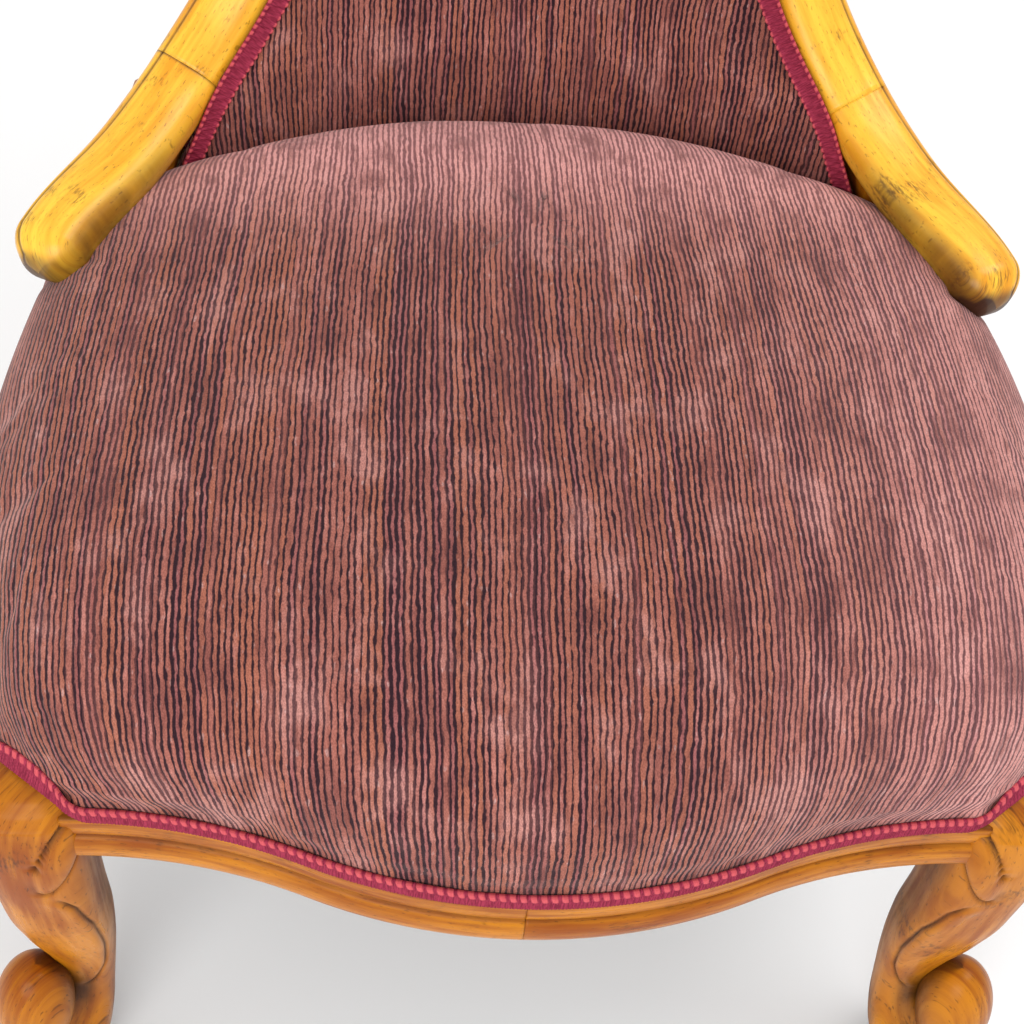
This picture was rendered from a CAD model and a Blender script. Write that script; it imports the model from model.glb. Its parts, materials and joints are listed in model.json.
import json
import math
import bmesh
import bpy
import numpy as np
from mathutils import Matrix

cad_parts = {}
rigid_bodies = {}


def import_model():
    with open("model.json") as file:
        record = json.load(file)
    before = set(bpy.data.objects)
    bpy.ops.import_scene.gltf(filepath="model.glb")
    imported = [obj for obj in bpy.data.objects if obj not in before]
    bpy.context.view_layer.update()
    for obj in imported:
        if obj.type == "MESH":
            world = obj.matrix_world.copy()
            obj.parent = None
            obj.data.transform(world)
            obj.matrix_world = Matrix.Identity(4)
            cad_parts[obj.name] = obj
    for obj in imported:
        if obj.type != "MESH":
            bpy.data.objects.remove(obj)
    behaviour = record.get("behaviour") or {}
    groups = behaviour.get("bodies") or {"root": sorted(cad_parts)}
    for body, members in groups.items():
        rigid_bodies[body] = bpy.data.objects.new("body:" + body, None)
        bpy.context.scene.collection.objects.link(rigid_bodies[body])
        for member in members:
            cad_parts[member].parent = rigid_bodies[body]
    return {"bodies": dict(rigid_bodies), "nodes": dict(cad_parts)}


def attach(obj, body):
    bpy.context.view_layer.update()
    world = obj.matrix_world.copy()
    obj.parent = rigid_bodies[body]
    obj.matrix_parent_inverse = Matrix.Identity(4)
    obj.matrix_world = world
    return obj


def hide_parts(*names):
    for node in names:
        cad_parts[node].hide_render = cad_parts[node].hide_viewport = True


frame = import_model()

scene = bpy.context.scene
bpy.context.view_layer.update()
chairBody = next(iter(frame["bodies"]))
mm = 0.001
rng = np.random.default_rng(11)
print("frame loaded, body", chairBody)


# small tools

# vectors along the last axis brought to length one
def unit(v):
    return v / np.maximum(np.linalg.norm(v, axis=-1, keepdims=True), 1e-12)


# 0 below low, 1 above high, 3t^2-2t^3 between
def smoothStep(value, low, high):
    t = np.clip((value - low) / (high - low), 0, 1)
    return t * t * (3 - 2 * t)


# the angle of each of a number of columns round a full turn
def turnAngles(count):
    return np.linspace(0, 2 * np.pi, count, endpoint=False)


# the way of travel along a line of points
def tangents(points):
    return unit(np.gradient(points, axis=0))


# the part of a vector that is square to a way, brought to length one
def squareTo(vector, way):
    return unit(vector - way * np.sum(vector * way, axis=1, keepdims=True))


# a power that keeps the sign
def signedPower(value, power):
    return np.sign(value) * np.abs(value) ** power


# the columns of a table read off at new places along it
def rowsAt(places, source, table):
    return np.stack([np.interp(places, source, column) for column in table.T], -1)


# moving average down the columns of a table, its ends held
def movingMean(table, reach):
    kernel = np.ones(2 * reach + 1) / (2 * reach + 1)
    return np.stack([np.convolve(np.pad(column, reach, "edge"), kernel, "valid") for column in table.T], -1)


# a clamped cubic through points with chord-length parameter: slopes solve the equal-curvature equations
def splineThrough(points, startWay, endWay, count):
    p = np.array(points, float)
    h = np.linalg.norm(np.diff(p, axis=0), axis=1)
    n = len(p)
    a, b = np.zeros((n, n)), np.zeros((n, 3))
    a[0, 0] = a[-1, -1] = 1
    b[0], b[-1] = unit(np.array(startWay, float)), unit(np.array(endWay, float))
    k = np.arange(1, n - 1)
    a[k, k - 1], a[k, k], a[k, k + 1] = 1 / h[k - 1], 2 / h[k - 1] + 2 / h[k], 1 / h[k]
    b[k] = 3 * ((p[k] - p[k - 1]) / h[k - 1, None] ** 2 + (p[k + 1] - p[k]) / h[k, None] ** 2)
    slope = np.linalg.solve(a, b)
    knots = np.concatenate([[0], np.cumsum(h)])
    s = np.linspace(0, knots[-1], count)
    i = np.clip(np.searchsorted(knots, s, side="right") - 1, 0, n - 2)
    t, hi = ((s - knots[i]) / h[i])[:, None], h[i][:, None]
    place = (2 * t**3 - 3 * t**2 + 1) * p[i] + (t**3 - 2 * t**2 + t) * hi * slope[i]
    place += (3 * t**2 - 2 * t**3) * p[i + 1] + (t**3 - t**2) * hi * slope[i + 1]
    return place, tangents(place), s


# faces and face-corner coordinates of a closed skin over rings, each end closed at a pole
def tubeFaces(rows, cols, around, along):
    i, j = np.meshgrid(np.arange(rows - 1), np.arange(cols), indexing="ij")
    k = (j + 1) % cols
    quads = np.stack([i * cols + j, i * cols + k, (i + 1) * cols + k, (i + 1) * cols + j], -1).reshape(-1, 4)
    corners = ((j, i), (j + 1, i), (j + 1, i + 1), (j, i + 1))
    uvQuads = np.stack([np.stack([around[c], along[r]], -1) for c, r in corners], 2).reshape(-1, 2)
    j = np.arange(cols)
    k = (j + 1) % cols
    base = (rows - 1) * cols
    first = np.stack([k, j, np.full(cols, rows * cols)], -1)
    last = np.stack([base + j, base + k, np.full(cols, rows * cols + 1)], -1)
    middle = (around[j] + around[j + 1]) / 2
    uvEnds = []
    for edge, near, far in ((along[0], around[j + 1], around[j]), (along[-1], around[j], around[j + 1])):
        columns = (near, far, middle)
        uvEnds.append(np.stack([np.stack([c, np.full(cols, edge)], -1) for c in columns], 1).reshape(-1, 2))
    return quads.tolist() + first.tolist() + last.tolist(), np.concatenate([uvQuads] + uvEnds)


# the ring points with the two pole points behind them
def tubePoints(rings):
    return np.concatenate([rings.reshape(-1, 3), rings[[0, -1]].mean(axis=1)])


# faces of an open grid
def gridFaces(rows, cols):
    i, j = np.meshgrid(np.arange(rows - 1), np.arange(cols - 1), indexing="ij")
    a = i * cols + j
    return np.stack([a, a + 1, a + cols + 1, a + cols], -1).reshape(-1, 4)


# running length along one axis of a grid of points
def runLength(points, axis):
    step = np.linalg.norm(np.diff(points, axis=axis), axis=-1)
    pad = [(0, 0)] * step.ndim
    pad[axis] = (1, 0)
    return np.cumsum(np.pad(step, pad), axis=axis)


# one mesh object at the origin, in the chair's frame, in place of its CAD nodes; points in millimetres
def addPiece(name, points, faces, uv, finish, nodes, grime=None, closed=True, mirrored=False):
    points = np.array(points, float)
    if mirrored:
        points[:, 0] *= -1
    mesh = bpy.data.meshes.new(name)
    mesh.from_pydata((points * mm).tolist(), [], faces)
    mesh.uv_layers.new(name="surface").data.foreach_set("uv", np.asarray(uv * mm, np.float32).ravel())
    if grime is not None:
        layer = mesh.attributes.new("grime", "FLOAT", "POINT")
        layer.data.foreach_set("value", np.asarray(grime, np.float32))
    shell = bmesh.new()
    shell.from_mesh(mesh)
    if closed:
        bmesh.ops.recalc_face_normals(shell, faces=shell.faces[:])
    elif mirrored:
        bmesh.ops.reverse_faces(shell, faces=shell.faces[:])
    shell.to_mesh(mesh)
    shell.free()
    mesh.polygons.foreach_set("use_smooth", np.ones(len(mesh.polygons), bool))
    mesh.materials.append(finish)
    piece = bpy.data.objects.new(name, mesh)
    scene.collection.objects.link(piece)
    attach(piece, chairBody)
    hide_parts(*nodes)
    return piece


def smoothPiece(piece):
    subdivision = piece.modifiers.new("smooth", "SUBSURF")
    subdivision.levels = subdivision.render_levels = 1
    subdivision.use_limit_surface = False


# materials

# one node with its settings; an input is a value or another node's socket
def put(tree, kind, inputs=None, **settings):
    node = tree.nodes.new(kind)
    for key, value in settings.items():
        setattr(node, key, value)
    for key, value in (inputs or {}).items():
        if isinstance(value, bpy.types.NodeSocket):
            tree.links.new(value, node.inputs[key])
        else:
            node.inputs[key].default_value = value
    return node


def maths(tree, operation, a, b=0.0):
    return put(tree, "ShaderNodeMath", {0: a, 1: b}, operation=operation).outputs[0]


def times(tree, a, b):
    return maths(tree, "MULTIPLY", a, b)


def plus(tree, a, b):
    return maths(tree, "ADD", a, b)


def minus(tree, a, b):
    return maths(tree, "SUBTRACT", a, b)


def noise(tree, vector, scale, detail=3.0, roughness=0.55):
    stretched = put(tree, "ShaderNodeVectorMath", {0: vector, 1: scale}, operation="MULTIPLY").outputs[0]
    inputs = {"Vector": stretched, "Scale": 1.0, "Detail": detail, "Roughness": roughness}
    return put(tree, "ShaderNodeTexNoise", inputs).outputs[0]


def ramp(tree, value, low, high, start=0.0, end=1.0):
    settings = {"Value": value, "From Min": low, "From Max": high, "To Min": start, "To Max": end}
    return put(tree, "ShaderNodeMapRange", settings, interpolation_type="SMOOTHSTEP").outputs[0]


def mix(tree, amount, a, b, mode="MIX"):
    inputs = {0: amount, 6: a, 7: b}
    return put(tree, "ShaderNodeMix", inputs, data_type="RGBA", blend_type=mode).outputs[2]


def makeGroup(name, ins, outs):
    group = bpy.data.node_groups.new(name, "ShaderNodeTree")
    for label, kind, value in ins:
        socket = group.interface.new_socket(label, in_out="INPUT", socket_type=kind)
        if value is not None:
            socket.default_value = value
    for label, kind in outs:
        group.interface.new_socket(label, in_out="OUTPUT", socket_type=kind)
    return group, put(group, "NodeGroupInput").outputs, put(group, "NodeGroupOutput").inputs


vectorIn, floatIn, colourIn = "NodeSocketVector", "NodeSocketFloat", "NodeSocketColor"


# honey wood: fine grain along the second coordinate, broad figure, dark flecks, worn dark patches and grime
def makeGrainGroup():
    group, ins, outs = makeGroup("honeyGrain", (
        ("Vector", vectorIn, None), ("Light", colourIn, (0.7, 0.33, 0.03, 1)),
        ("Mid", colourIn, (0.5, 0.17, 0.012, 1)), ("Dark", colourIn, (0.08, 0.025, 0.006, 1)),
        ("Flecks", floatIn, 0.5), ("Worn", floatIn, 0.3), ("Grime", floatIn, 0.0)),
        (("Color", colourIn), ("Roughness", floatIn), ("Height", floatIn)))
    place = ins["Vector"]
    fine = noise(group, place, (260, 16, 260), 4)
    figure = noise(group, place, (34, 9, 34), 3)
    flecks = noise(group, place, (900, 170, 900), 2)
    patches = noise(group, place, (38, 24, 38), 4, 0.65)
    tone = plus(group, times(group, fine, 0.55), times(group, figure, 0.65))
    wood = mix(group, ramp(group, tone, 0.42, 0.78), ins["Light"], ins["Mid"])
    fleckMask = times(group, ramp(group, flecks, 0.6, 0.7), ins["Flecks"])
    wood = mix(group, fleckMask, wood, ins["Dark"])
    wornMask = times(group, ramp(group, patches, 0.53, 0.68), ins["Worn"])
    wornMask = times(group, wornMask, ramp(group, flecks, 0.4, 0.6))
    wood = mix(group, wornMask, wood, ins["Dark"])
    broken = times(group, ins["Grime"], ramp(group, patches, 0.25, 0.6, 0.55, 1.0))
    wood = mix(group, broken, wood, ins["Dark"])
    group.links.new(wood, outs["Color"])
    rough = plus(group, ramp(group, fine, 0.3, 0.7, 0.26, 0.4), times(group, broken, 0.25))
    group.links.new(rough, outs["Roughness"])
    group.links.new(minus(group, times(group, fine, 0.3), fleckMask), outs["Height"])
    return group


# ribbed chenille: wavering ribs of uneven width along the second coordinate, slubs, and rubbed patches
def makeChenilleGroup():
    group, ins, outs = makeGroup("chenilleRibs", (
        ("Vector", vectorIn, None), ("Pitch", floatIn, 0.0035), ("Rib", colourIn, (0.335, 0.115, 0.088, 1)),
        ("Valley", colourIn, (0.024, 0.009, 0.014, 1)), ("Rubbed", floatIn, 0.75), ("Nap", floatIn, 0.0)),
        (("Color", colourIn), ("Height", floatIn)))
    place = ins["Vector"]
    split = put(group, "ShaderNodeSeparateXYZ", {0: place}).outputs
    waver = times(group, minus(group, noise(group, place, (150, 75, 1), 3), 0.5), 0.0028)
    drift = times(group, minus(group, noise(group, place, (9, 6, 1), 2), 0.5), 0.012)
    across = plus(group, plus(group, split[0], waver), drift)
    count = maths(group, "DIVIDE", across, ins["Pitch"])
    index = maths(group, "FLOOR", count)
    chance = put(group, "ShaderNodeTexWhiteNoise", {"W": index}, noise_dimensions="1D").outputs
    farIndex = plus(group, index, 517.3)
    other = put(group, "ShaderNodeTexWhiteNoise", {"W": farIndex}, noise_dimensions="1D").outputs
    fromMiddle = minus(group, maths(group, "FRACT", count), 0.5)
    off = times(group, maths(group, "ABSOLUTE", fromMiddle), 2)
    slub = noise(group, place, (420, 190, 1), 2)
    mottle = noise(group, place, (26, 17, 1), 5, 0.62)
    fibre = noise(group, place, (1500, 900, 1), 2)
    bulge = minus(group, slub, 0.5)
    width = plus(group, times(group, chance["Value"], 0.36), bulge)
    rib = ramp(group, minus(group, off, width), 0.24, 0.6, 1.0, 0.0)
    tan = mix(group, ramp(group, other["Value"], 0.5, 0.9), ins["Rib"], (0.35, 0.118, 0.076, 1))
    pink = mix(group, ramp(group, chance["Value"], 0.35, 0.0), tan, (0.3, 0.098, 0.096, 1))
    rubbed = times(group, ramp(group, mottle, 0.5, 0.68), ins["Rubbed"])
    pale = mix(group, rubbed, pink, (0.5, 0.235, 0.205, 1))
    sideNap = times(group, ramp(group, split[0], 0.06, 0.3), 0.45)
    nap = maths(group, "MAXIMUM", ramp(group, split[1], -0.05, 0.11), sideNap)
    nap = times(group, nap, ins["Nap"])
    pale = mix(group, nap, pale, (0.95, 0.48, 0.46, 1))
    tuft = times(group, ramp(group, noise(group, place, (330, 120, 1), 1), 0.66, 0.76), 0.5)
    pale = mix(group, tuft, pale, (0.56, 0.36, 0.34, 1))
    streak = noise(group, place, (170, 34, 1), 3)
    pale = mix(group, ramp(group, streak, 0.5, 0.3, 0.0, 0.55), pale, (0.16, 0.046, 0.036, 1))
    pale = mix(group, ramp(group, streak, 0.56, 0.72, 0.0, 0.5), pale, (0.56, 0.235, 0.2, 1))
    dusky = mix(group, ramp(group, mottle, 0.5, 0.32, 0.0, 0.6), pale, (0.15, 0.045, 0.04, 1))
    valley = mix(group, ramp(group, mottle, 0.5, 0.7, 0.0, 0.6), ins["Valley"], (0.17, 0.07, 0.07, 1))
    faint = times(group, ramp(group, other["Value"], 0.35, 0.0), 0.6)
    valley = mix(group, faint, valley, (0.13, 0.045, 0.042, 1))
    valley = mix(group, nap, valley, (0.34, 0.14, 0.14, 1))
    cloth = mix(group, rib, valley, dusky)
    speck = ramp(group, fibre, 0.3, 0.7, 0.72, 1.22)
    tint = put(group, "ShaderNodeCombineXYZ", {0: speck, 1: speck, 2: speck}).outputs[0]
    group.links.new(mix(group, 1.0, cloth, tint, "MULTIPLY"), outs["Color"])
    raised = plus(group, times(group, rib, 0.8), times(group, fibre, 0.25))
    group.links.new(raised, outs["Height"])
    return group


# plain weave: crossed threads from two sine waves with uneven yarn
def makeWeaveGroup():
    group, ins, outs = makeGroup("plainWeave", (
        ("Vector", vectorIn, None), ("Pitch", floatIn, 0.002), ("Thread", colourIn, (0.5, 0.4, 0.25, 1)),
        ("Gap", colourIn, (0.15, 0.1, 0.06, 1))), (("Color", colourIn), ("Height", floatIn)))
    split = put(group, "ShaderNodeSeparateXYZ", {0: ins["Vector"]}).outputs
    turn = maths(group, "DIVIDE", math.pi, ins["Pitch"])
    uneven = noise(group, ins["Vector"], (300, 300, 300), 2)
    warp = maths(group, "ABSOLUTE", maths(group, "SINE", times(group, split[0], turn)))
    weft = maths(group, "ABSOLUTE", maths(group, "SINE", times(group, split[1], turn)))
    thread = times(group, maths(group, "MAXIMUM", warp, weft), plus(group, uneven, 0.45))
    group.links.new(mix(group, ramp(group, thread, 0.3, 0.85), ins["Gap"], ins["Thread"]), outs["Color"])
    group.links.new(thread, outs["Height"])
    return group


# gimp braid: crimson ground with slanted coral beads, a rectified sine along the braid, on one edge or both;
# the second coordinate runs from 0 to 1 across it
def makeGimpGroup():
    group, ins, outs = makeGroup("gimpBraid", (
        ("Vector", vectorIn, None), ("Period", floatIn, 0.005), ("Both Edges", floatIn, 0.0)),
        (("Color", colourIn), ("Height", floatIn)))
    split = put(group, "ShaderNodeSeparateXYZ", {0: ins["Vector"]}).outputs
    slope = times(group, ins["Period"], 0.6)
    slant = plus(group, split[0], times(group, split[1], slope))
    turn = maths(group, "DIVIDE", math.pi, ins["Period"])
    beat = maths(group, "ABSOLUTE", maths(group, "SINE", times(group, slant, turn)))
    one = ramp(group, split[1], 0.68, 0.76)
    two = maths(group, "MAXIMUM", ramp(group, split[1], 0.84, 0.92), ramp(group, split[1], 0.16, 0.08))
    second = times(group, ins["Both Edges"], minus(group, two, one))
    cord = times(group, plus(group, one, second), ramp(group, beat, 0.4, 0.8))
    yarn = noise(group, ins["Vector"], (1600, 1.6, 1), 3)
    ground = mix(group, ramp(group, yarn, 0.35, 0.65), (0.19, 0.014, 0.036, 1), (0.36, 0.036, 0.075, 1))
    coral = mix(group, yarn, (0.5, 0.06, 0.085, 1), (0.68, 0.12, 0.13, 1))
    group.links.new(mix(group, cord, ground, coral), outs["Color"])
    group.links.new(yarn, outs["Height"])
    return group


grainGroup, chenilleGroup = makeGrainGroup(), makeChenilleGroup()
weaveGroup, gimpGroup = makeWeaveGroup(), makeGimpGroup()


# a Principled material whose colour, roughness and bump come from a group; uniform values sit on the shader
def makeMaterial(name, group, values, coords, bump, shader):
    material = bpy.data.materials.new(name)
    material.use_nodes = True
    tree = material.node_tree
    tree.nodes.clear()
    if coords == "surface":
        vector = put(tree, "ShaderNodeUVMap", uv_map="surface").outputs[0]
    else:
        vector = put(tree, "ShaderNodeTexCoord").outputs["Object"]
        vector = put(tree, "ShaderNodeMapping", {"Vector": vector, "Rotation": coords}).outputs[0]
    effect = put(tree, "ShaderNodeGroup", node_tree=group)
    tree.links.new(vector, effect.inputs["Vector"])
    for key, value in values.items():
        effect.inputs[key].default_value = value
    if "Grime" in effect.inputs.keys() and coords == "surface":
        soot = put(tree, "ShaderNodeAttribute", attribute_name="grime").outputs["Fac"]
        tree.links.new(soot, effect.inputs["Grime"])
    height = {"Height": effect.outputs["Height"], "Strength": bump[0], "Distance": bump[1]}
    raised = put(tree, "ShaderNodeBump", height)
    inputs = {"Base Color": effect.outputs["Color"], "Normal": raised.outputs[0], **shader}
    if "Roughness" in effect.outputs.keys():
        inputs["Roughness"] = effect.outputs["Roughness"]
    surface = put(tree, "ShaderNodeBsdfPrincipled", inputs)
    tree.links.new(surface.outputs[0], put(tree, "ShaderNodeOutputMaterial").inputs[0])
    return material


armTones = {"Light": (0.96, 0.56, 0.045, 1), "Mid": (0.76, 0.31, 0.008, 1), "Dark": (0.045, 0.014, 0.004, 1),
            "Flecks": 0.42, "Worn": 0.65}
legTones = {"Light": (0.55, 0.195, 0.008, 1), "Mid": (0.27, 0.06, 0.002, 1), "Dark": (0.03, 0.008, 0.002, 1),
            "Flecks": 0.5, "Worn": 0.5}
polish = {"Coat Weight": 0.3, "Coat Roughness": 0.24, "Specular IOR Level": 0.25}
worn = {"Coat Weight": 0.05, "Coat Roughness": 0.3, "Specular IOR Level": 0.14}
alongX, alongZ = (0, 0, math.pi / 2), (math.pi / 2, 0, 0)
woodBump = (0.25, 0.0004)
armWood = makeMaterial("armWood", grainGroup, armTones, "surface", woodBump, polish)
legWood = makeMaterial("legWood", grainGroup, legTones, "surface", woodBump, worn)
standingWood = makeMaterial("standingWood", grainGroup, legTones, alongZ, woodBump, worn)
crossWood = makeMaterial("crossWood", grainGroup, legTones, alongX, woodBump, worn)
plainTones = {"Light": (0.6, 0.45, 0.27, 1), "Mid": (0.45, 0.31, 0.17, 1), "Dark": (0.2, 0.12, 0.06, 1),
              "Flecks": 0.3}
plainWood = makeMaterial("plainWood", grainGroup, plainTones, alongX, (0.2, 0.0003), {})
pile = {"Roughness": 0.95, "Sheen Weight": 0.3, "Sheen Roughness": 0.45, "Sheen Tint": (1, 0.75, 0.72, 1),
        "Specular IOR Level": 0.12}
seatChenille = makeMaterial("seatChenille", chenilleGroup, {"Nap": 0.8}, "surface", (0.6, 0.001), pile)
backChenille = makeMaterial("backChenille", chenilleGroup, {"Rubbed": 0.6}, "surface", (0.6, 0.001), pile)
cloth = {"Roughness": 0.95, "Specular IOR Level": 0.1}
dustCloth = makeMaterial("dustCloth", weaveGroup, {"Pitch": 0.0012, "Thread": (0.03, 0.028, 0.027, 1),
                         "Gap": (0.008, 0.008, 0.008, 1)}, "surface", (0.3, 0.0003), cloth)
hessian = makeMaterial("juteHessian", weaveGroup, {"Pitch": 0.0025}, (0, 0, 0), (0.4, 0.0006), cloth)
webbing = makeMaterial("juteWebbing", weaveGroup, {"Pitch": 0.0016, "Thread": (0.45, 0.34, 0.2, 1)},
                       (0, 0, 0), (0.4, 0.0005), cloth)
steelTones = {"Light": (0.4, 0.37, 0.33, 1), "Mid": (0.3, 0.25, 0.21, 1), "Dark": (0.1, 0.06, 0.04, 1),
              "Worn": 0.5}
steel = makeMaterial("springSteel", grainGroup, steelTones, alongZ, (0.1, 0.0002), {"Metallic": 1.0})
yarnFinish = {"Roughness": 0.85, "Specular IOR Level": 0.15}
gimpPeriod = {"seat": 5.2, "back": 4.6}
seatBraid = {"Period": gimpPeriod["seat"] * mm}
backBraid = {"Period": gimpPeriod["back"] * mm, "Both Edges": 1.0}
braidBump = (0.5, 0.0005)
seatGimpFinish = makeMaterial("seatGimpFinish", gimpGroup, seatBraid, "surface", braidBump, yarnFinish)
backGimpFinish = makeMaterial("backGimpFinish", gimpGroup, backBraid, "surface", braidBump, yarnFinish)
nodeFinish = {
    "rear_leg_left": standingWood, "rear_leg_right": standingWood, "rear_rail": crossWood,
    "front_rail_block": plainWood, "back_lower_rail": plainWood, "corner_blocks": plainWood,
    "rail_dowels": plainWood, "frame_dowels": plainWood, "frame_screws": steel, "webbing_tacks": steel,
    "seat_springs": steel, "seat_webbing": webbing, "seat_hessian": hessian, "back_hessian": hessian,
}
for nodeName, finish in nodeFinish.items():
    frame["nodes"][nodeName].data.materials.clear()
    frame["nodes"][nodeName].data.materials.append(finish)
print("materials ready")


# show-wood frame: arms, back uprights and crest

wood = {"faceRound": 3.0, "columns": 150, "rows": 150, "width": 40, "armWidth": 44, "depth": 33,
        "support": 22, "lineIn": 5.5, "lineWide": 0.9, "lineDeep": 1.3, "knobRound": 20, "knobDeep": 11,
        "knobLift": 3, "grainShift": 900, "endGrime": 0.3}
joint, shoulder = (214, 162, 448), (205, 306.8, 890)
jointWay, shoulderWay = unit(np.array([0.50, -0.68, -0.54])), unit(np.array([0.42, -0.16, -0.9]))
lean = math.radians(14)
frameFacing = np.array([0, -math.cos(lean), math.sin(lean)])
jointFacing, knobFacing, stileFacing = np.array([[0, -0.66, 0.75], [0, -0.1, 1], [0, -1, 0]])
crestRise, crestBack = 70, 19
crestTop = shoulder[2] + crestRise
uprightLine = splineThrough(
    [shoulder, (216, 292, 825), (163, 256, 690), (146, 236, 615), (170, 204, 512), joint],
    shoulderWay, jointWay, wood["rows"])
# distance from the middle, and the shares of the crest's set-back and rise there
crestShares = ((164, 0.45, 0.54), (90.2, 0.85, 0.88), (0, 1, 1))
crestPoints = [(x, shoulder[1] + crestBack * b, shoulder[2] + crestRise * r) for x, b, r in crestShares]
crestHalf = splineThrough([shoulder, *crestPoints], -shoulderWay, (-1, 0, 0), 90)
armLine = splineThrough([joint, (254, 91.2, 421.1), (283, 40, 406), (291, 20, 401)], jointWay,
                        (0.36, -0.9, -0.22), wood["rows"])


# a rounded rectangle (superellipse) carried along a path, square to it, turned to face a way; a fine incised
# line follows the outer edge of the face, and the far end may close in a quarter-ellipse knob
def frameMember(path, way, run, facing, width, depth, knob=0, lineSide=-1, lined=1, soiled=0.2):
    angle = turnAngles(wood["columns"]) - np.pi / 2
    x, y = (signedPower(wave(angle), 2 / wood["faceRound"]) for wave in (np.cos, np.sin))
    facing = np.broadcast_to(facing, path.shape)
    width, depth = (np.broadcast_to(size, run.shape)[:, None] for size in (width, depth))
    front, across = squareTo(facing, way), unit(np.cross(way, facing))
    shrink = np.ones((len(path), 1))
    if knob:
        toEnd = np.clip((run[:, None] - run[-1] + knob) / knob, 0, 1)
        shrink = np.sqrt(np.clip(1 - toEnd**2, 0.0004, 1))
    wide, deep = width / 2 * shrink, depth / 2 * shrink
    lineAt = lineSide * (width / 2 - wood["lineIn"]) * np.maximum(shrink, 0.55)
    line = lined * np.exp(-((x * wide - lineAt) / wood["lineWide"]) ** 2) * (y > 0.2)
    raised = y * deep - line * wood["lineDeep"]
    rings = path[:, None] + across[:, None] * (x * wide)[..., None] + front[:, None] * raised[..., None]
    flat = np.stack([x * wide + y * deep * 0.5, np.broadcast_to(run[:, None], raised.shape)], -1)
    grime = np.clip(line * 0.8 + smoothStep(-y, 0.1, 0.9) * soiled, 0, 1)
    return rings, flat, grime


# faces of a closed skin, and its coordinates taken point by point; a pole takes its ring's mean unless given
def pointUv(flat, poles=None):
    rows, cols = flat.shape[:2]
    faces, _ = tubeFaces(rows, cols, np.arange(cols + 1), np.arange(rows))
    if poles is None:
        poles = flat[[0, -1]].mean(axis=1)
    spread = np.concatenate([flat.reshape(-1, 2), poles])
    return faces, spread[np.concatenate([np.array(face) for face in faces])]


# a show-wood piece on the right and its mirror on the left, the grain of each shifted by chance
def addPair(stem, node, points, faces, uv, finish, grimes):
    for side, grime in zip(("Right", "Left"), grimes):
        shifted = uv + rng.uniform(0, wood["grainShift"], 2)
        addPiece(stem + side, points, faces, shifted, finish, [node + "_" + side.lower()], grime,
                 mirrored=side == "Left")


# a frame member and its mirror; the left joint's crack is the darker one
def addMember(stem, node, made, finish, crack=0.0):
    rings, flat, grime = made
    faces, uv = pointUv(flat)
    ends = [wood["endGrime"]] * 2
    grimes = [np.clip(np.append(grime + dark, ends), 0, 1) for dark in (0.0, crack)]
    addPair(stem, node, tubePoints(rings), faces, uv, finish, grimes)


# the knob end samples its path more closely, so its round closes smoothly
def towardsEnd(line, count):
    t = 1 - (1 - np.linspace(0, 1, count)) ** 1.9
    source = np.linspace(0, 1, len(line[2]))
    return rowsAt(t, source, line[0]), unit(rowsAt(t, source, line[1])), np.interp(t, source, line[2]), t


place, way, run, t = towardsEnd(armLine, wood["rows"])
armFacing = jointFacing * (1 - t[:, None]) + knobFacing * t[:, None]
swell = smoothStep(t, 0.35, 0.85)
place = place + np.outer(swell * wood["knobLift"], [0, 0, 1])
armDepth = wood["depth"] + wood["knobDeep"] * swell
armMade = frameMember(place, way, run, armFacing, wood["armWidth"], armDepth, knob=wood["knobRound"],
                      soiled=0.55)
# the arms are darkest along the inner edge, under the knob and at its tip
columnAngle = turnAngles(wood["columns"]) - np.pi / 2
soil = armMade[2]
soil += smoothStep(np.cos(columnAngle), 0.25, 0.95) * 0.75 * smoothStep(t, 0.1, 0.6)[:, None]
soil += smoothStep(t, 0.8, 0.97)[:, None] * smoothStep(-np.sin(columnAngle), -0.5, 0.6) * 0.8
soil += 0.8 * smoothStep(run[:, None], run[-1] - 6, run[-1] - 1)
np.clip(soil, 0, 1, out=soil)
addMember("arm", "arm", armMade, armWood, crack=np.exp(-(run[:, None] / 1.5) ** 2))

supportLine = splineThrough([(277, 52, 396), (284, 74, 352.9), (284.5, 98, 288)], (0.2, 0.4, -0.9),
                            (0, 0.3, -1), 60)
supportMade = frameMember(*supportLine, stileFacing, wood["support"], wood["support"], lined=0)
addMember("armSupport", "arm_support", supportMade, legWood)

t = np.linspace(0, 1, wood["rows"])
uprightFacing = frameFacing * (1 - t[:, None]) + jointFacing * t[:, None]
uprightWidth = wood["width"] + (wood["armWidth"] - wood["width"]) * t
uprightMade = frameMember(*uprightLine, uprightFacing, uprightWidth, wood["depth"])
addMember("backUpright", "back_upright", uprightMade, armWood)

crestPlace = np.concatenate([crestHalf[0], crestHalf[0][-2::-1] * (-1, 1, 1)])
crestWay = np.concatenate([crestHalf[1], crestHalf[1][-2::-1] * (1, -1, -1)])
crestRings, crestFlat, crestGrime = frameMember(crestPlace, crestWay, runLength(crestPlace, 0), frameFacing,
                                                wood["width"], wood["depth"], lineSide=1)
faces, uv = pointUv(crestFlat)
addPiece("crestRail", tubePoints(crestRings), faces, uv, armWood, ["crest_rail"],
         np.append(crestGrime, [wood["endGrime"]] * 2))
print("arms, uprights and crest done")


# seat rails: a two-band moulding carried along the serpentine front and the bowed sides

rail = {"low": 279, "groove": 301, "woodTop": 317, "halfSpan": 238, "reach": 246, "frontLine": -297,
        "bow": 46, "seam": -6, "crack": 0.15, "sideSpan": (-262, 128), "columns": 150, "endGrime": 0.8}
sideFront, sideRear, sideBulge = (286, -259), (270, 130), 22
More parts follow.
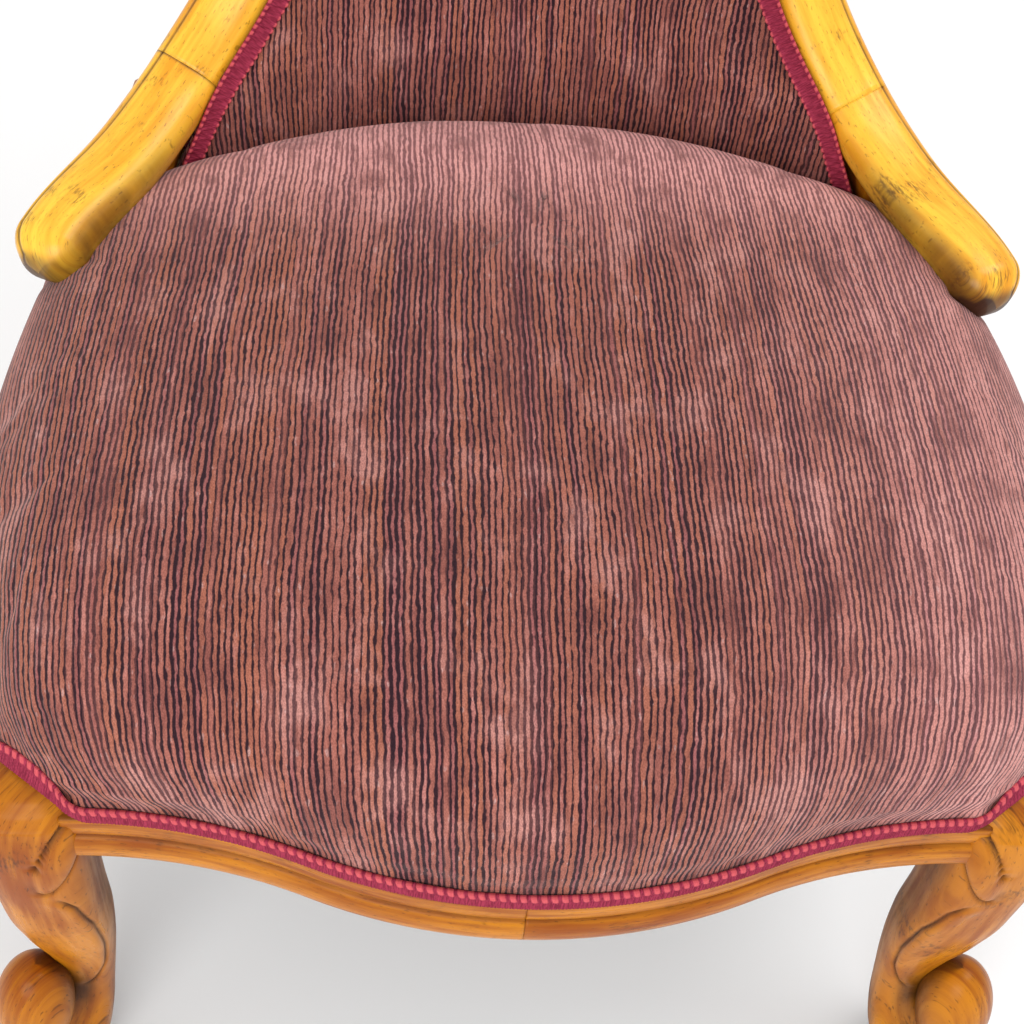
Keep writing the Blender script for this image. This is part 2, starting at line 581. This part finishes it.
# (distance in from the face, height) round the moulding, from the rear bottom up the face to the rear top
mouldingPoints = np.array([
    (32, 279), (24, 279), (8, 279), (4.5, 279.3), (2.6, 280.4), (1.2, 282.6), (0.35, 285.5), (0, 289),
    (0.2, 293), (0.9, 296.6), (1.9, 299), (3.0, 300.2), (4.1, 300.6), (4.6, 301.2), (4.4, 301.9),
    (3.4, 302.4), (3.0, 303.2), (3, 306), (3, 310), (3, 314), (3.2, 315.6), (4, 316.7), (6, 317),
    (10, 317.2), (12, 320), (13, 340), (15, 343), (20, 343), (32, 343), (32, 330), (32, 300)])


# the serpentine front as depth over x: four arcs of one radius, tangent to each other
def serpentineY(x, half, endY, bow):
    radius = ((half / 2) ** 2 + (bow / 2) ** 2) / bow
    outer = endY - radius + np.sqrt(np.maximum(radius**2 - (half - np.abs(x)) ** 2, 0))
    inner = endY - bow + radius - np.sqrt(np.maximum(radius**2 - x**2, 0))
    return np.where(np.abs(x) > half / 2, outer, inner)


# how far out the side rail stands at a depth: a straight line between its ends with a parabolic bulge
def sideX(y):
    t = (y - sideFront[1]) / (sideRear[1] - sideFront[1])
    return sideFront[0] + (sideRear[0] - sideFront[0]) * t + sideBulge * 4 * t * (1 - t)


# the moulding carried along a line in plan, square to it: its points, faces, coordinates and grime
def mouldedRail(line):
    deep, high = mouldingPoints.T
    slope = tangents(line)
    inward = np.stack([-slope[:, 1], slope[:, 0]], -1)
    rings = np.zeros((len(line), len(deep), 3))
    rings[..., :2] = line[:, None] + inward[:, None] * deep[:, None]
    rings[..., 2] = high
    girth = np.hypot(np.diff(deep, append=deep[0]), np.diff(high, append=high[0]))
    around = np.concatenate([[0], np.cumsum(girth)])
    grime = smoothStep(-high, -rail["low"] - 5, -rail["low"]) * 0.55
    grime += np.exp(-((high - rail["groove"]) / 0.8) ** 2) * 0.5 * (deep < 10)
    grime += np.exp(-((high - rail["woodTop"]) / 1.2) ** 2) * 0.5
    spread = np.broadcast_to(np.clip(grime, 0, 1), rings.shape[:2])
    faces, uv = tubeFaces(len(line), len(deep), around, runLength(line, 0))
    return tubePoints(rings), faces, uv, np.append(spread, [rail["endGrime"]] * 2)


for name, node, start, end in (
        ("frontRailLeft", "front_rail_left", -rail["reach"], rail["seam"] - rail["crack"]),
        ("frontRailRight", "front_rail_right", rail["seam"] + rail["crack"], rail["reach"])):
    x = np.linspace(start, end, rail["columns"])
    inSpan = np.clip(x, -rail["halfSpan"], rail["halfSpan"])
    line = np.stack([x, serpentineY(inSpan, rail["halfSpan"], rail["frontLine"], rail["bow"])], -1)
    points, faces, uv, grime = mouldedRail(line)
    uv = uv + rng.uniform(0, wood["grainShift"], 2)
    addPiece(name, points, faces, uv, legWood, [node], grime)

y = np.linspace(*rail["sideSpan"], rail["columns"])
points, faces, uv, grime = mouldedRail(np.stack([sideX(y), y], -1))
addPair("sideRail", "side_rail", points, faces, uv, legWood, (grime, grime))
print("seat rails done")


# cabriole front legs

leg = {"x": 264, "y": -272, "rows": 180, "topRows": 50, "columns": 120, "lineDeep": 1.7, "lineWide": 1.1,
       "earHeight": 3.2, "earZ": 281, "fuller": 1.12, "shift": -2.2, "endGrime": 0.6}
diagonal = math.sqrt(0.5)
# height, outward shift along the diagonal, size across, squareness
legLevels = np.array([
    (0, 22, 26, 2.4), (9, 22, 28, 2.4), (14, 19, 37, 2.3), (21, 17, 42, 2.3), (32, 15, 42, 2.3),
    (43, 12, 39, 2.3), (56, 7, 34, 2.3), (68, 3, 31, 2.3), (84, 0, 30, 2.3), (100, -2, 31, 2.4),
    (132, -2, 37, 2.5), (162, 1, 44, 2.7), (199, 5, 48, 2.9), (249, 6, 50, 3.2), (289, 5, 50, 3.4),
    (309, 3, 48, 3.2), (319, 0, 42, 2.8), (325, -2.5, 33, 2.5), (328.4, -4, 20, 2.2), (329, -4, 6, 2.0)])
toe = {"out": 36, "height": 94, "halfWidth": 24, "halfHeight": 43, "lean": 10, "rows": 60, "columns": 72}


# level superellipse rings up the leg, moved out along the diagonal; an ear lobe stands proud beside each rail
# with an incised outline, and an incised C runs down each side of the shin to the scroll
def carvedLeg():
    base = np.concatenate([np.linspace(0, 310, leg["rows"]), np.linspace(310.5, 329, leg["topRows"])])
    levels = rowsAt(base, legLevels[:, 0], legLevels[:, 1:])
    size = movingMean(levels[:, 1:2], 4)
    size[-6:] = levels[-6:, 1:2]
    grown = smoothStep(base, 10, 60)[:, None]
    size *= 1 + (leg["fuller"] - 1) * grown
    out = movingMean(levels[:, :1], 6) + leg["shift"] * grown
    angle = turnAngles(leg["columns"])
    x, y = (signedPower(wave(angle), 2 / levels[:, 2:]) * size / 2 for wave in (np.cos, np.sin))
    z = np.broadcast_to(base[:, None], x.shape)
    normal = unit(np.stack([x, y], -1))
    # ear lobes: on the front face near the front rail, and on the side face near the side rail
    lift, cut = np.zeros_like(x), np.zeros_like(x)
    up = z - leg["earZ"]
    for inward, facing in ((x, -y), (-y, x)):
        tilt = inward + size / 2 - 12.5 + up * 0.32
        d = np.sqrt((tilt / 9.5) ** 2 + (up / 31) ** 2)
        onFace = smoothStep(facing, 8, 15)
        lift += leg["earHeight"] * np.sqrt(np.clip(1 - d**2, 0, 1)) * onFace
        reach = smoothStep(z, 240, 252) * (1 - smoothStep(z, 312, 318))
        cut += np.exp(-((d - 1.04) / 0.085) ** 2) * onFace * reach
    # C lines down the shin, mirrored about the diagonal
    outward, aside = (x - y) * diagonal, np.abs(x + y) * diagonal
    curl = np.interp(z, (92, 104, 120, 150, 190, 225, 243), (12, 5, -1, -4, -3, 4, 12))
    onShin = smoothStep(z, 92, 100) * (1 - smoothStep(z, 232, 244)) * smoothStep(aside, 4, 9)
    shinCut = np.exp(-((outward - curl) / leg["lineWide"]) ** 2) * onShin
    ridge = np.exp(-((outward - curl - 4.5) / 3.2) ** 2) * onShin
    cut = np.clip(cut + shinCut, 0, 1)
    move = lift + ridge - cut * leg["lineDeep"]
    x, y = x + normal[..., 0] * move, y + normal[..., 1] * move
    rings = np.stack([leg["x"] + out * diagonal + x, leg["y"] - out * diagonal + y, z], -1)
    cleft = smoothStep(outward, 2, 12) * np.exp(-((z - 88) / 26) ** 2)
    grime = cut * 0.95 + cleft * 0.9 + smoothStep(-z, -30, -8) * 0.5 + smoothStep(-outward, 4, 20) * 0.6
    return rings, (x + y) * diagonal, z, np.clip(grime, 0, 1)


# the scroll's egg: radius is a sine of the height angle drawn a little fuller below, leaning with the leg
def scrollToe():
    v = np.linspace(0.02, np.pi - 0.02, toe["rows"])[:, None]
    angle = turnAngles(toe["columns"])[None]
    radius = toe["halfWidth"] * np.sin(v) ** 0.82
    height = -np.cos(v) * toe["halfHeight"] + 0 * angle
    outWay = np.array([diagonal, -diagonal, 0])
    upWay = unit(np.array([0, 0, 1.0]) - outWay * math.tan(math.radians(toe["lean"])))
    sideWay = np.cross(upWay, outWay)
    faceWay = np.cross(sideWay, upWay)
    middle = np.array([leg["x"], leg["y"], toe["height"]]) + outWay * toe["out"]
    local = (radius * np.cos(angle))[..., None] * faceWay + (radius * np.sin(angle))[..., None] * sideWay
    rings = middle + local + height[..., None] * upWay
    grime = smoothStep(-np.cos(angle), 0.1, 0.9) * 0.8 + smoothStep(np.cos(v), 0.6, 1.0) * 0.5
    return rings, radius * np.sin(angle), height, np.clip(grime, 0, 1)


pointSets, faceSets, uvSets, grimeSets, offset = [], [], [], [], 0
for rings, around, along, grime in (carvedLeg(), scrollToe()):
    faces, uv = pointUv(np.stack([around, along], -1))
    pointSets.append(tubePoints(rings))
    faceSets += [[k + offset for k in face] for face in faces]
    uvSets.append(uv)
    grimeSets.append(np.append(grime, [leg["endGrime"]] * 2))
    offset += len(pointSets[-1])
addPair("frontLeg", "front_leg", np.concatenate(pointSets), faceSets, np.concatenate(uvSets), legWood,
        [np.concatenate(grimeSets)] * 2)
print("front legs done")


# sprung seat

seat = {"inset": 3.7, "crown": 427, "edgeRise": 30, "edgeBulge": 17, "frontBulge": 2, "frontRun": 318,
        "sideRun": 265, "rearRun": 115, "rearY": 202, "rearBow": 94, "rearOut": 5, "gimp": 13, "gimpRows": 4,
        "tuck": 0.2, "start": 1.5, "domeRows": 44, "fullness": 3.0, "creases": 0.6, "pressure": 4.0,
        "frames": 20, "cap": 4.0, "frontPoints": 121, "kneePoints": 21, "sidePoints": 79, "rearPoints": 118}
cornerY = seat["rearY"] - seat["rearBow"]
sideSag = sideBulge * ((cornerY - sideFront[1]) / (sideRear[1] - sideFront[1])) ** 2


# seat outlines in plan, one per level, pulled in at front, sides and rear: serpentine front, a chamfer behind
# each knee, bowed sides and rear; the same number of points on every level
def seatOutline(frontIn, sideIn, rearIn):
    frontIn, sideIn, rearIn = (np.reshape(np.asarray(v, float), (-1, 1)) for v in (frontIn, sideIn, rearIn))
    shrink = 1 - sideIn / sideFront[0]
    half = rail["halfSpan"] * shrink
    frontY = rail["frontLine"] + seat["inset"] + frontIn
    cornerX = sideFront[0] - seat["inset"] - sideIn
    cornerFrontY = frontY + (sideFront[1] - rail["frontLine"] - seat["inset"]) * shrink
    rearX = sideX(cornerY) - seat["inset"] - sideIn
    rearCornerY = seat["rearY"] - rearIn - seat["rearBow"] * shrink
    front = np.linspace(-1, 1, seat["frontPoints"])[None] * half
    step = np.linspace(0, 1, seat["kneePoints"] + 1)[None, 1:]
    chamfer = (half + (cornerX - half) * step, frontY + (cornerFrontY - frontY) * step)
    step = np.linspace(0, 1, seat["sidePoints"] + 1)[None, 1:]
    side = (cornerX + (rearX - cornerX) * step + sideSag * shrink * 4 * step * (1 - step),
            cornerFrontY + (rearCornerY - cornerFrontY) * step)
    step = np.linspace(1, -1, seat["rearPoints"] + 2)[None, 1:-1]
    rear = (rearX * step, rearCornerY + seat["rearBow"] * shrink * (1 - step**2))
    xs = [front, chamfer[0], side[0], rear[0], -side[0][:, ::-1], -chamfer[0][:, ::-1][:, :-1]]
    frontLine = serpentineY(front, half, frontY, rail["bow"] * shrink)
    ys = [frontLine, chamfer[1], side[1], rear[1], side[1][:, ::-1], chamfer[1][:, ::-1][:, :-1]]
    return np.concatenate(xs, axis=1), np.concatenate(ys, axis=1)


# closed rings softened along themselves by a moving average, so corners round off
def softenRings(rings, reach):
    total = sum(np.roll(rings, k, axis=1) for k in range(-reach, reach + 1))
    return total / (2 * reach + 1)


# levels of the dome: upright behind the gimp, fullest at the edge, then a superellipse up to the crown
wallZ = np.array([0, 4, 9, 13, 17, 21, 25, 28])
wallRows, gimpRows = len(wallZ), seat["gimpRows"]
bulge = smoothStep(wallZ, 10, 31)
domeAngle = np.linspace(0, np.pi / 2, seat["domeRows"])
run = 1 - np.abs(np.cos(domeAngle)) ** (2 / seat["fullness"])
rise = seat["crown"] - rail["woodTop"] - seat["edgeRise"]
domeZ = seat["edgeRise"] + rise * np.sin(domeAngle) ** (2 / seat["fullness"])
levels = np.concatenate([wallZ, domeZ]) + rail["woodTop"]
frontIn, sideIn, rearIn = (
    np.concatenate([-out * bulge, length * run - out]) + seat["start"]
    for out, length in ((seat["frontBulge"], seat["frontRun"]), (seat["edgeBulge"], seat["sideRun"]),
                        (0, seat["rearRun"])))
rearIn[wallRows:] -= seat["rearOut"]
for pulledIn in (frontIn, sideIn, rearIn):
    pulledIn[:gimpRows] = seat["tuck"]
ringX, ringY = seatOutline(frontIn, sideIn, rearIn)
# over the knees the edge stands straight up instead of bulging
overhang = np.concatenate([bulge, 1 - smoothStep(run, 0.02, 0.3)])
plainX, plainY = seatOutline(frontIn, sideIn + seat["edgeBulge"] * overhang, rearIn)
knee = 1 - smoothStep(plainY, -250, -120)
ringX, ringY = ringX + (plainX - ringX) * knee, ringY + (plainY - ringY) * knee
rings = np.stack([ringX, ringY, np.broadcast_to(levels[:, None], ringX.shape)], -1)
rings[gimpRows:] = softenRings(rings[gimpRows:], 5)
rings[wallRows:] = softenRings(rings[wallRows:], 9)
# shallow pull creases rise from the gimp along the front and die out up the edge
along = turnAngles(rings.shape[1])
wave = sum(np.sin(along * k + rng.uniform(0, 6)) for k in (23, 31, 44, 57, 71)) / 2.4
fade = np.interp(levels - rail["woodTop"], (6, 16, 34, 70), (0, 1, 0.7, 0))
crease = seat["creases"] * wave[None] * fade[:, None] * smoothStep(-rings[..., 1], 100, 260)
rings[..., 1] -= crease
centre = rings[-1].mean(axis=0)
arc = runLength(rings[::-1], 0)[::-1] + np.linalg.norm(rings[-1] - centre, axis=-1)
plan = unit(rings[..., :2] - centre[:2])
faces, uv = pointUv(plan * arc[..., None], [[0, -300.0], [0, 0]])
seatPad = addPiece("seatPad", tubePoints(rings), faces, uv, seatChenille,
                   ["seat_cover", "seat_stuffing"])


# the cover filled out by a short cloth run under inner pressure, held at pinned points, no move past the cap
def fillOut(piece, pinned, pressure, frames, cap):
    group = piece.vertex_groups.new(name="held")
    group.add(np.flatnonzero(pinned).tolist(), 1.0, "REPLACE")
    modifier = piece.modifiers.new("filling", "CLOTH")
    settings = modifier.settings
    settings.quality = 5
    settings.vertex_group_mass = "held"
    settings.use_pressure = True
    settings.uniform_pressure_force = pressure
    settings.effector_weights.gravity = 0
    settings.bending_stiffness = 4
    modifier.collision_settings.use_collision = False
    modifier.collision_settings.use_self_collision = False
    for number in range(1, frames + 1):
        scene.frame_set(number)
    before = np.empty(len(piece.data.vertices) * 3)
    after = np.empty_like(before)
    piece.data.vertices.foreach_get("co", before)
    evaluated = piece.evaluated_get(bpy.context.evaluated_depsgraph_get())
    evaluated.data.vertices.foreach_get("co", after)
    move = (after - before).reshape(-1, 3)
    size = np.linalg.norm(move, axis=1, keepdims=True)
    move *= np.minimum(1, cap[:, None] * mm / np.maximum(size, 1e-9))
    piece.modifiers.remove(modifier)
    piece.vertex_groups.remove(group)
    piece.data.vertices.foreach_set("co", before + move.ravel())
    piece.data.update()
    scene.frame_set(1)
    print("filled out", piece.name, "largest move mm", round(float(size.max() / mm), 1))


above = tubePoints(rings)[:, 2] - rail["woodTop"] - seat["gimp"]
fillOut(seatPad, above < 1, seat["pressure"], seat["frames"], seat["cap"] * smoothStep(above, 0, 50))
smoothPiece(seatPad)
print("seat done")


# stuffed back, outside back and their edges

back = {"hold": 2.5, "edgeSet": 4, "hollow": 88, "crown": 6, "pad": 15.5, "outside": 30.1, "rows": 120,
        "columns": 81, "roll": 5.0, "outsideRoll": -1.5, "waist": 615, "bottom": 352.2, "foot": 350,
        "levelTo": 410, "shoulder": 880.0, "stileSize": 40, "stileSpan": (346, 396), "uprightFrom": 449}
rearLegLine = splineThrough(
    [(234, 262.6, -16), (242, 186.1, 125.6), (250, 136, 299), (248, 134, 375), (228, 158, 432)],
    (0.02, -0.55, 0.83), (-0.5, 0.35, 0.79), 200)


# the way back at a height: level over the seat, square to the leaning frame from the waist up
def wayBack(z):
    tilt = lean * np.clip((z - back["levelTo"]) / (back["waist"] - back["levelTo"]), 0, 1)
    return np.stack([0 * tilt, np.cos(tilt), -np.sin(tilt)], -1)


# how far the middle lies behind the edges: a hollow that runs out at the waist, a slight crown above it
def hollow(z):
    low = back["hollow"] * (back["waist"] - z) / (back["waist"] - back["foot"])
    high = -back["crown"] * np.sin(np.pi * np.clip((z - back["waist"]) / (crestTop - back["waist"]), 0, 1))
    return np.where(z < back["waist"], low, high)


# inner edge of a frame member, set in from its face: path + inward * half width + front * set depth
def innerEdge(line, facing, width, depth, sign):
    facing = np.broadcast_to(facing, line[0].shape)
    inward = unit(np.cross(line[1], facing)) * sign
    front = squareTo(facing, line[1]) * (depth / 2 - back["edgeSet"])
    return line[0] + inward * (width / 2 + back["hold"]) + front, inward


stileEdge, stileIn = innerEdge(rearLegLine, stileFacing, back["stileSize"], back["stileSize"], -1)
uprightEdge, uprightIn = innerEdge(uprightLine, uprightFacing, wood["width"], wood["depth"], 1)
crestEdge, crestIn = innerEdge(crestHalf, frameFacing, wood["width"], wood["depth"], -1)
keep = (stileEdge[:, 2] > back["stileSpan"][0]) & (stileEdge[:, 2] < back["stileSpan"][1])
keepUp = uprightEdge[:, 2] > back["uprightFrom"]
edge = np.concatenate([stileEdge[keep], uprightEdge[keepUp][::-1], crestEdge])
inward = np.concatenate([stileIn[keep], uprightIn[keepUp][::-1], crestIn])
shoulderZ = back["shoulder"]
below = edge[:, 2] < shoulderZ
sideEdge, sideInward = edge[below], inward[below]
crestUnder = crestEdge[crestEdge[:, 2] > shoulderZ - 6][::-1]


# the back at a depth behind its face: x is a share of the half width at the side's height, the top follows
# the crest's arch, and depth adds the hollow across as an arc of a circle, the lean and a roll at the edges
def backSheet(depth, roll, tuck):
    t = np.linspace(0, 1, back["rows"])[:, None]
    share = np.sin(np.linspace(-1, 1, back["columns"]) * np.pi / 2)[None]
    sideZ = back["bottom"] + (shoulderZ - back["bottom"]) * t
    edgeX, edgeY = (np.interp(sideZ, sideEdge[:, 2], sideEdge[:, k]) for k in (0, 1))
    along = np.sum(wayBack(sideEdge[:, 2]) * sideInward, 1)
    shift = np.where(np.abs(sideInward[:, 0]) > 0.3, along / np.minimum(sideInward[:, 0], -0.3), 0)
    half = edgeX - depth * np.interp(sideZ, sideEdge[:, 2], shift) + tuck
    x = half * share
    archZ = np.interp(np.abs(share * half[-1]), crestUnder[:, 0], crestUnder[:, 2]) - shoulderZ + tuck
    z = sideZ + archZ * t**4
    bow = hollow(sideZ)
    radius = (half**2 + bow**2) / np.maximum(2 * np.abs(bow), 0.1)
    arc = np.sign(bow) * (np.sqrt(radius**2 - x**2) - radius + np.abs(bow))
    inset = depth + arc + roll * (np.abs(share) ** 14 + t**30)
    ways = wayBack(sideZ[:, 0])[:, None]
    flat = np.stack([x, edgeY + (z - sideZ) * math.tan(lean), z], -1)
    return flat + ways * inset[..., None]


front, rear = backSheet(0.0, back["roll"], 1.2), backSheet(back["pad"], 0, 1.0)
rows, cols = back["rows"], back["columns"]
quads = gridFaces(rows, cols)
rim = np.concatenate([np.arange(cols), np.arange(1, rows) * cols + cols - 1,
                      (rows - 1) * cols + np.arange(cols - 2, -1, -1), np.arange(rows - 2, 0, -1) * cols])
wall = np.stack([rim, np.roll(rim, -1), np.roll(rim, -1) + rows * cols, rim + rows * cols], -1)
faces = np.concatenate([quads, quads[:, ::-1] + rows * cols, wall])


# cloth coordinates of the sheet: running length out from the middle line, and up from the bottom
def sheetUv(points):
    across = runLength(points, 1)
    return np.stack([across - across[:, [points.shape[1] // 2]], runLength(points, 0)], -1).reshape(-1, 2)


uv = np.concatenate([sheetUv(front), sheetUv(rear)])[faces.ravel()]
points = np.concatenate([front.reshape(-1, 3), rear.reshape(-1, 3)])
backPad = addPiece("insideBackPad", points, faces.tolist(), uv, backChenille,
                   ["inside_back_cover", "back_stuffing"])

outside = backSheet(back["outside"], back["outsideRoll"], 1.0)
quads = quads[:, ::-1]
outsideBack = addPiece("outsideBack", outside.reshape(-1, 3), quads.tolist(), sheetUv(outside)[quads.ravel()],
                       backChenille, ["outside_back_cover"], closed=False)
sheetWidth = float(runLength(outside, 1)[:, -1].max()) * mm
sheetLength = float(runLength(outside, 0)[-1].max()) * mm
print("back done")


# gimp braid

gimp = {"width": 13, "backWidth": 12, "thick": 2.2, "columns": 17, "step": 0.75, "slant": 0.6, "kneeArch": 15,
        "kneeLean": -0.5, "sideShort": 10, "pathPoints": 1200, "smooth": 16, "backFrom": 380, "backIn": 5.4,
        "backOut": 1.2, "outsideIn": 6.5, "outsideOut": 0.6}


# a braid: a strip carried along a path, its upper side raised in slanted cord beads along the chosen edges
# and in fine ribs between; the second coordinate runs from 0 at the inner edge to 1000 at the outer
def braid(path, across, width, period, edges):
    length = runLength(path, 0)
    s = np.linspace(0, length[-1], int(length[-1] / gimp["step"]))
    place, wide = rowsAt(s, length, path), unit(rowsAt(s, length, across))
    out = unit(np.cross(tangents(place), wide))
    w = np.linspace(0, 1, gimp["columns"])[None]
    beat = np.abs(np.sin(np.pi * (s[:, None] + w * period * gimp["slant"]) / period))
    ribs = np.abs(np.sin(np.pi * (s[:, None] - w * 9) / 1.9))
    upper = smoothStep(w, 0.58, 0.7)
    if edges == "both":
        upper = np.maximum(smoothStep(w, 0.78, 0.88), smoothStep(1 - w, 0.78, 0.88))
        ribs = np.abs(np.sin(2 * np.pi * s[:, None] / (period * 1.6)) - (w - 0.5) * 3.2)
        ribs = np.exp(-(ribs / 0.35) ** 2) * 1.6
    height = gimp["thick"] * (0.55 + upper * beat**0.7 * 0.75 + (1 - upper) * ribs * 0.28)
    scallop = (w - 0.5) * width * (1 + upper * beat * 0.07)
    top = place[:, None] + wide[:, None] * scallop[..., None] + out[:, None] * height[..., None]
    under = place[:, None] + wide[:, None] * (np.array([0.5, -0.5]) * width)[None, :, None]
    rings = np.concatenate([top, under], axis=1)
    around = np.concatenate([w[0], [1, 0, 0]]) * 1000
    faces, uv = tubeFaces(rings.shape[0], rings.shape[1], around, s)
    return tubePoints(rings), faces, uv[:, ::-1]


# the seat's braid follows the foot of the cover: side, arch over the knee, serpentine front, knee, side
x, y = (level[0] for level in seatOutline(-0.3, -0.3, -0.3))
middle, kneeStart = seat["frontPoints"] // 2, seat["frontPoints"] - 1
kneeStep = np.linspace(0, 1, seat["kneePoints"] + 2)
kneeEnd = kneeStart + len(kneeStep)
sideStop = seat["frontPoints"] + seat["kneePoints"] + seat["sidePoints"] - gimp["sideShort"]
z = np.full(len(x), rail["woodTop"] + gimp["width"] / 2)
z[kneeStart:kneeEnd] += gimp["kneeArch"] * np.sqrt(np.clip(1 - (2 * kneeStep - 1) ** 2, 0, 1)) ** 0.8
leanOut = np.zeros(len(x))
leanOut[kneeStart:kneeEnd] = np.sin(np.pi * kneeStep) * gimp["kneeLean"]
halfTable = np.stack([x, y, z, leanOut], -1)[middle:sideStop]
dense = np.linspace(0, len(halfTable) - 1, gimp["pathPoints"])
halfTable = rowsAt(dense, np.arange(len(halfTable)), halfTable)
halfLine, halfLean = halfTable[:, :3], halfTable[:, 3:]
halfLine = np.concatenate([halfLine[:1], movingMean(halfLine, gimp["smooth"])[1:]])
way = tangents(halfLine[:, :2])
outWay = np.stack([way[:, 1], -way[:, 0], 0 * way[:, 0]], -1)
halfUp = unit(np.array([0, 0, 1.0]) + outWay * halfLean)
fullLine = np.concatenate([halfLine[::-1] * (-1, 1, 1), halfLine[1:]])
fullUp = np.concatenate([halfUp[::-1] * (-1, 1, 1), halfUp[1:]])
points, faces, uv = braid(fullLine, fullUp, gimp["width"], gimpPeriod["seat"], "upper")
addPiece("seatGimp", points, faces, uv, seatGimpFinish,
         ["gimp_front", "gimp_side_left", "gimp_side_right", "gimp_knee_left", "gimp_knee_right"])


# the back's braids lie on the pad's edge, from the seat up one side, under the crest and down the other
def edgeBraid(sheet, inset):
    rowsUp = np.searchsorted(sheet[:, 0, 2], gimp["backFrom"])
    rim = np.concatenate([sheet[rowsUp:, -1], sheet[-1, -2:0:-1], sheet[rowsUp:, 0][::-1]])
    inner = np.concatenate([sheet[rowsUp:, -9], sheet[-9, -2:0:-1], sheet[rowsUp:, 8][::-1]])
    rim, inner = movingMean(rim, 3), movingMean(inner, 3)
    way = tangents(rim)
    across = squareTo(unit(inner - rim), way)
    return rim + across * inset, across, unit(np.cross(way, across))


for name, sheet, inset, raised, width, facing in (
        ("insideBackGimp", backSheet(0.0, 0, 1.2), gimp["backIn"], gimp["backOut"], gimp["backWidth"], -1),
        ("outsideBackGimp", outside, gimp["outsideIn"], gimp["outsideOut"], gimp["width"], 1)):
    path, across, out = edgeBraid(sheet, inset)
    sign = np.sign(facing * np.sum(out * wayBack(path[:, 2]), axis=1).mean())
    points, faces, uv = braid(path + out * sign * raised, across * sign, width, gimpPeriod["back"], "both")
    node = "gimp_inside_back" if facing < 0 else "gimp_outside_back"
    addPiece(name, points, faces, uv, backGimpFinish, [node])
print("gimp done")


# dust cover under the seat: a cloth that sags a little below the webbing

dust = {"z": 274.4, "sag": 5.0, "rows": 14, "in": 11, "rearIn": 2, "middleY": -60.0, "least": 0.06}
share = np.linspace(1, dust["least"], dust["rows"])[:, None]
x, y = seatOutline(dust["in"], dust["in"], dust["rearIn"])
rings = np.stack([x * share, dust["middleY"] + (y - dust["middleY"]) * share,
                  dust["z"] - dust["sag"] * (1 - share**2) + 0 * x], -1)
rows, cols = rings.shape[:2]
i, j = np.meshgrid(np.arange(rows - 1), np.arange(cols), indexing="ij")
k = (j + 1) % cols
quads = np.stack([i * cols + j, (i + 1) * cols + j, (i + 1) * cols + k, i * cols + k], -1).reshape(-1, 4)
last = (rows - 1) * cols
fan = np.stack([last + j[0], np.full(cols, rows * cols), last + k[0]], -1)
points = np.concatenate([rings.reshape(-1, 3), [[0, dust["middleY"], dust["z"] - dust["sag"]]]])
uv = points[np.concatenate([quads.ravel(), fan.ravel()]), :2]
faces = quads.tolist() + fan.tolist()
dustSheet = addPiece("dustCover", points, faces, uv, dustCloth, ["dust_cover"], closed=False)
x, y = x[0], y[0]
print("dust cover done")


# stage: floor, light, camera

stage = {"floor": (0.95, 0.95, 0.95, 1), "world": 0.88, "key": 17, "fill": 34, "lens": 56.61, "sensor": 36,
         "camera": (-0.0834, -0.6997, 1.0696)}
floorMesh = bpy.data.meshes.new("floor")
floorMesh.from_pydata([(-6, -6, 0), (6, -6, 0), (6, 6, 0), (-6, 6, 0)], [], [(0, 1, 2, 3)])
floorFinish = bpy.data.materials.new("paleFloor")
floorFinish.use_nodes = True
floorShader = floorFinish.node_tree.nodes["Principled BSDF"].inputs
floorShader["Base Color"].default_value = stage["floor"]
floorShader["Roughness"].default_value = 0.9
floorMesh.materials.append(floorFinish)
floor = bpy.data.objects.new("floor", floorMesh)
scene.collection.objects.link(floor)

world = bpy.data.worlds.new("studio")
scene.world = world
world.use_nodes = True
tree = world.node_tree
tree.nodes.clear()
backdrop = put(tree, "ShaderNodeBackground", {"Color": (1, 1, 1, 1), "Strength": stage["world"]})
tree.links.new(backdrop.outputs[0], put(tree, "ShaderNodeOutputWorld").inputs[0])


# three axes and a place as one matrix
def placed(axes, place):
    return Matrix([[*row, p] for row, p in zip(np.stack(axes, 1), place)] + [[0, 0, 0, 1]])


# a round area lamp turned to look at its target
def softLamp(name, place, target, size, power):
    lamp = bpy.data.lights.new(name, "AREA")
    lamp.shape, lamp.size, lamp.energy = "DISK", size, power
    holder = bpy.data.objects.new(name, lamp)
    aim = unit(np.array(place, float) - np.array(target, float))
    sideways = unit(np.cross([0, 0, 1.0], aim))
    upward = np.cross(aim, sideways)
    holder.matrix_world = placed((sideways, upward, aim), place)
    scene.collection.objects.link(holder)


softLamp("keyLamp", (0.9, 0.0, 2.4), (0, 0.05, 0.4), 1.3, stage["key"])
softLamp("fillLamp", (-0.9, -2.4, 1.3), (0, -0.2, 0.2), 2.0, stage["fill"])

cameraData = bpy.data.cameras.new("photoCamera")
cameraData.lens, cameraData.sensor_width, cameraData.sensor_fit = stage["lens"], stage["sensor"], "HORIZONTAL"
cameraData.clip_start, cameraData.clip_end = 0.02, 60
camera = bpy.data.objects.new("photoCamera", cameraData)
right, up, behind = (0.9965, -0.0295, 0.0777), (-0.0264, 0.7740, 0.6326), (-0.0788, -0.6325, 0.7705)
camera.matrix_world = placed((right, up, behind), stage["camera"])
scene.collection.objects.link(camera)
scene.camera = camera
scene.view_settings.view_transform = "Standard"
